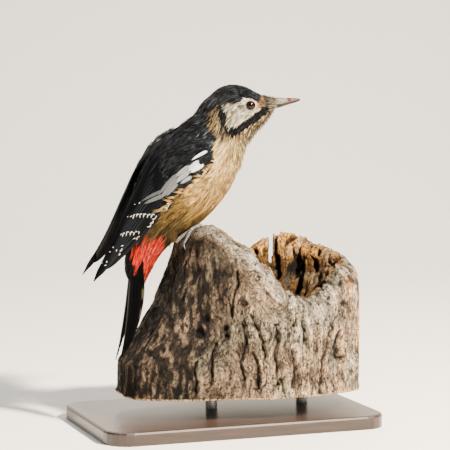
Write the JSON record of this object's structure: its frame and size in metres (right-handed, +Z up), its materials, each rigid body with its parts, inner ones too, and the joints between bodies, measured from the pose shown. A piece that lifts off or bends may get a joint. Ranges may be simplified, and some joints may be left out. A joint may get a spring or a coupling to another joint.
{
  "type": "great spotted woodpecker model",
  "caption": "Life-size great spotted woodpecker hen clinging upright to the broken, hollow top of a short cut tree trunk, on a rodded flat display board.",
  "frame": {"origin": "centre of the display board's underside", "axes": "+Z up, +X the way the bird faces, +Y to the bird's left"},
  "size_m": [0.194, 0.12, 0.2288],
  "materials": {
    "black_plumage": "glossy blue-black feathers",
    "head_plumage": "short black and whitish head feathers",
    "buff_plumage": "soft buff feathers",
    "red_plumage": "loose scarlet feathers",
    "bill_horn": "satin grey horn",
    "eye_gloss": "wet gloss",
    "foot_scale": "scaled skin",
    "claw_horn": "smooth grey horn",
    "bark": "weathered bark and rotten wood",
    "stand_wood": "dark satin lacquer",
    "stand_steel": "brushed"
  },
  "bodies": {
    "root": {"wing_left_coverts": "black_plumage", "wing_left_flight_feathers": "black_plumage", "wing_right_coverts": "black_plumage", "wing_right_flight_feathers": "black_plumage", "tail_left": "black_plumage", "tail_right": "black_plumage", "head": "head_plumage", "neck": "buff_plumage", "trunk": "buff_plumage", "thigh_left": "buff_plumage", "thigh_right": "buff_plumage", "tail_coverts": "red_plumage", "bill_upper": "bill_horn", "bill_lower": "bill_horn", "eye_left": "eye_gloss", "eye_right": "eye_gloss", "leg_left": "foot_scale", "leg_right": "foot_scale", "claw_left_inner_front": "claw_horn", "claw_left_inner_rear": "claw_horn", "claw_left_outer_front": "claw_horn", "claw_left_outer_rear": "claw_horn", "claw_right_inner_front": "claw_horn", "claw_right_inner_rear": "claw_horn", "claw_right_outer_front": "claw_horn", "claw_right_outer_rear": "claw_horn", "perch_trunk": "bark", "stand_board": "stand_wood", "stand_rod_1": "stand_steel", "stand_rod_2": "stand_steel"}
  },
  "joints": []
}
